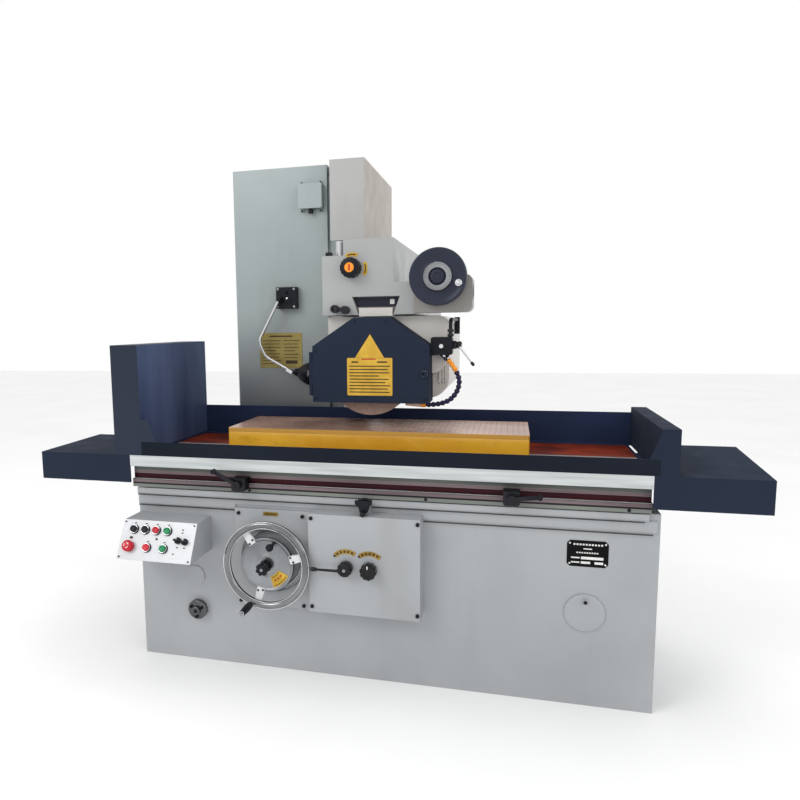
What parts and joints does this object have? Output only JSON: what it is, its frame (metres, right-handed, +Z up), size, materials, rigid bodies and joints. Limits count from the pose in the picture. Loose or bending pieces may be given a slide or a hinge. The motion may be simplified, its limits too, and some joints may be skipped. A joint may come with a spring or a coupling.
{
  "type": "surface grinder",
  "caption": "Hydraulic surface grinder: long bed, reciprocating table with magnetic chuck and splash tray, rear column, rising carriage and cross-sliding wheelhead.",
  "frame": {"origin": "on the floor under the bed, midway along the bed and in line with the middle of the magnetic chuck's width", "axes": "+X along the table's travel to the operator's right, +Y away from the operator, +Z up"},
  "size_m": [2.308, 1.397, 1.79],
  "materials": {
    "bed_paint": "satin enamel",
    "column_paint": "satin enamel",
    "carriage_paint": "satin enamel",
    "panel_white": "satin",
    "black_steel": "blackened",
    "steel": "ground",
    "chrome": "polished",
    "table_steel": "ground and painted",
    "chuck_ochre": "gloss",
    "chuck_steel": "ground, oiled",
    "navy_sheet": "satin enamel",
    "black_plastic": "moulded",
    "red_plastic": "moulded",
    "green_plastic": "moulded",
    "navy_plastic": "moulded",
    "orange_plastic": "moulded",
    "handwheel_metal": "polished and dull plated",
    "black_metal": "gloss",
    "abrasive": "vitrified grit"
  },
  "bodies": {
    "machine": {"bed_casting": "bed_paint", "bed_port_covers": "bed_paint", "handwheel_plate": "bed_paint", "valve_box": "bed_paint", "valve_box_cover": "bed_paint", "control_panel_box": "bed_paint", "control_panel_plate": "panel_white", "front_screws": "black_steel", "hydraulic_cylinder": "steel", "column_casting": "column_paint", "junction_box": "column_paint", "lamp_mount": "black_plastic", "lamp_gooseneck": "chrome"},
    "lamp_head": {"lamp_head": "black_plastic"},
    "table": {"table_casting": "table_steel", "chuck_body": "chuck_ochre", "chuck_face": "chuck_steel", "splash_tray": "navy_sheet", "left_splash_guard": "navy_sheet", "right_splash_guard": "navy_sheet", "left_end_cover": "navy_sheet", "right_end_cover": "navy_sheet", "piston_rod": "chrome"},
    "left_dog": {"left_trip_dog": "black_steel"},
    "right_dog": {"right_trip_dog": "black_steel"},
    "left_dog_clamp": {"left_dog_lever": "black_steel"},
    "right_dog_clamp": {"right_dog_lever": "black_steel"},
    "reversing_lever": {"reversing_lever": "black_steel"},
    "start_lever": {"start_lever": "black_plastic"},
    "speed_knob": {"speed_knob": "black_plastic"},
    "button_1": {"push_button_1": "black_plastic"},
    "button_2": {"push_button_2": "black_plastic"},
    "button_3": {"push_button_3": "red_plastic"},
    "button_4": {"push_button_4": "green_plastic"},
    "button_5": {"push_button_5": "red_plastic"},
    "button_6": {"push_button_6": "green_plastic"},
    "emergency_stop": {"emergency_stop": "red_plastic"},
    "left_selector": {"left_selector": "black_plastic"},
    "right_selector": {"right_selector": "black_plastic"},
    "elevating_handwheel": {"elevating_handwheel": "handwheel_metal"},
    "handwheel_grip": {"handwheel_grip": "black_plastic"},
    "clutch_knob": {"clutch_knob": "black_plastic"},
    "carriage": {"carriage_casting": "carriage_paint", "way_cover": "carriage_paint", "gear_housing": "carriage_paint"},
    "feed_knob": {"feed_knob": "black_plastic"},
    "clamp_lever": {"clamp_lever": "black_steel"},
    "elevating_screw": {"elevating_screw": "steel"},
    "crossfeed_handwheel": {"crossfeed_handwheel": "black_metal"},
    "wheelhead": {"wheelhead_casting": "carriage_paint", "wheel_guard": "navy_sheet", "spindle_motor": "carriage_paint", "coolant_valve": "black_steel", "coolant_hose": "navy_plastic", "coolant_nozzle": "orange_plastic"},
    "guard_door": {"guard_door": "navy_sheet"},
    "wheel_spindle": {"spindle": "steel", "wheel_flanges": "steel", "grinding_wheel": "abrasive"},
    "valve_lever": {"valve_lever": "chrome"}
  },
  "joints": [
    {"name": "table_slide", "type": "slide", "parent": "machine", "child": "table", "axis": [1, 0, 0], "range_m": [-0.5, 0.5]},
    {"name": "left_dog_slide", "type": "slide", "parent": "table", "child": "left_dog", "axis": [1, 0, 0], "range_m": [-0.3, 0.3]},
    {"name": "right_dog_slide", "type": "slide", "parent": "table", "child": "right_dog", "axis": [1, 0, 0], "range_m": [-0.3, 0.3]},
    {"name": "left_dog_clamp_turn", "type": "hinge", "parent": "left_dog", "child": "left_dog_clamp", "pos_m": [-0.44, -0.294, 0.645], "axis": [0, 1, 0], "range_deg": [-40, 40]},
    {"name": "right_dog_clamp_turn", "type": "hinge", "parent": "right_dog", "child": "right_dog_clamp", "pos_m": [0.421, -0.294, 0.645], "axis": [0, 1, 0], "range_deg": [-40, 40]},
    {"name": "reversing_lever_swing", "type": "hinge", "parent": "machine", "child": "reversing_lever", "pos_m": [-0.022, -0.275, 0.585], "axis": [0, 1, 0], "range_deg": [-20, 20]},
    {"name": "start_lever_turn", "type": "hinge", "parent": "machine", "child": "start_lever", "pos_m": [-0.076, -0.31, 0.401], "axis": [0, 1, 0], "range_deg": [-45, 45]},
    {"name": "speed_knob_turn", "type": "hinge", "parent": "machine", "child": "speed_knob", "pos_m": [-0.002, -0.31, 0.399], "axis": [0, 1, 0], "range_deg": [-135, 135]},
    {"name": "button_1_press", "type": "slide", "parent": "machine", "child": "button_1", "axis": [0, 0.8805, -0.4741], "range_m": [0, 0.003], "stiffness_N_per_m": 400, "springref_m": -0.001},
    {"name": "button_2_press", "type": "slide", "parent": "machine", "child": "button_2", "axis": [0, 0.8805, -0.4741], "range_m": [0, 0.003], "stiffness_N_per_m": 400, "springref_m": -0.001},
    {"name": "button_3_press", "type": "slide", "parent": "machine", "child": "button_3", "axis": [0, 0.8805, -0.4741], "range_m": [0, 0.003], "stiffness_N_per_m": 400, "springref_m": -0.001},
    {"name": "button_4_press", "type": "slide", "parent": "machine", "child": "button_4", "axis": [0, 0.8805, -0.4741], "range_m": [0, 0.003], "stiffness_N_per_m": 400, "springref_m": -0.001},
    {"name": "button_5_press", "type": "slide", "parent": "machine", "child": "button_5", "axis": [0, 0.8805, -0.4741], "range_m": [0, 0.003], "stiffness_N_per_m": 400, "springref_m": -0.001},
    {"name": "button_6_press", "type": "slide", "parent": "machine", "child": "button_6", "axis": [0, 0.8805, -0.4741], "range_m": [0, 0.003], "stiffness_N_per_m": 400, "springref_m": -0.001},
    {"name": "emergency_stop_press", "type": "slide", "parent": "machine", "child": "emergency_stop", "axis": [0, 0.8805, -0.4741], "range_m": [0, 0.006], "stiffness_N_per_m": 600, "springref_m": -0.001},
    {"name": "left_selector_turn", "type": "hinge", "parent": "machine", "child": "left_selector", "pos_m": [-0.622, -0.36145, 0.46617], "axis": [0, -0.8805, 0.4741], "range_deg": [-45, 45]},
    {"name": "right_selector_turn", "type": "hinge", "parent": "machine", "child": "right_selector", "pos_m": [-0.597, -0.36287, 0.46353], "axis": [0, -0.8805, 0.4741], "range_deg": [-45, 45]},
    {"name": "elevating_handwheel_turn", "type": "hinge", "parent": "machine", "child": "elevating_handwheel", "pos_m": [-0.337, -0.3, 0.392], "axis": [0, 1, 0], "continuous": true},
    {"name": "handwheel_grip_turn", "type": "hinge", "parent": "elevating_handwheel", "child": "handwheel_grip", "pos_m": [-0.389, -0.37, 0.262], "axis": [0, 1, 0], "continuous": true},
    {"name": "clutch_knob_pull", "type": "slide", "parent": "elevating_handwheel", "child": "clutch_knob", "axis": [0, -1, 0], "range_m": [0, 0.01]},
    {"name": "carriage_slide", "type": "slide", "parent": "machine", "child": "carriage", "axis": [0, 0, 1], "range_m": [-0.03, 0.26]},
    {"name": "elevating_screw_turn", "type": "hinge", "parent": "machine", "child": "elevating_screw", "pos_m": [-0.268, 0.62, 1.2], "axis": [0, 0, 1], "range_deg": [-1800, 9800]},
    {"name": "feed_knob_turn", "type": "hinge", "parent": "carriage", "child": "feed_knob", "pos_m": [-0.126, 0.02, 1.351], "axis": [0, 1, 0], "range_deg": [-150, 150]},
    {"name": "clamp_lever_turn", "type": "hinge", "parent": "carriage", "child": "clamp_lever", "pos_m": [-0.149, 0.02, 1.208], "axis": [0, 1, 0], "range_deg": [-8, 40]},
    {"name": "wheelhead_slide", "type": "slide", "parent": "carriage", "child": "wheelhead", "axis": [0, 1, 0], "range_m": [-0.16, 0.15]},
    {"name": "crossfeed_handwheel_turn", "type": "hinge", "parent": "carriage", "child": "crossfeed_handwheel", "pos_m": [0.174, 0, 1.31], "axis": [0, 1, 0], "range_deg": [-3000, 2800]},
    {"name": "wheel_spin", "type": "hinge", "parent": "wheelhead", "child": "wheel_spindle", "pos_m": [-0.057, 0.021, 0.995], "axis": [0, 1, 0], "continuous": true},
    {"name": "guard_door_swing", "type": "hinge", "parent": "wheelhead", "child": "guard_door", "pos_m": [-0.258, -0.043, 0.99], "axis": [0, 0, 1], "range_deg": [-110, 0]},
    {"name": "valve_lever_turn", "type": "hinge", "parent": "wheelhead", "child": "valve_lever", "pos_m": [0.24, 0.022, 1.085], "axis": [1, 0, 0], "range_deg": [-90, 0]},
    {"name": "lamp_head_tilt", "type": "hinge", "parent": "machine", "child": "lamp_head", "pos_m": [-0.447, 0.318, 0.971], "axis": [0, 1, 0], "range_deg": [-30, 30]}
  ],
  "couplings": [
    {"joint": "elevating_screw_turn", "follows": "carriage_slide", "rad_per_m": 628.32},
    {"joint": "crossfeed_handwheel_turn", "follows": "wheelhead_slide", "rad_per_m": 314.16}
  ]
}
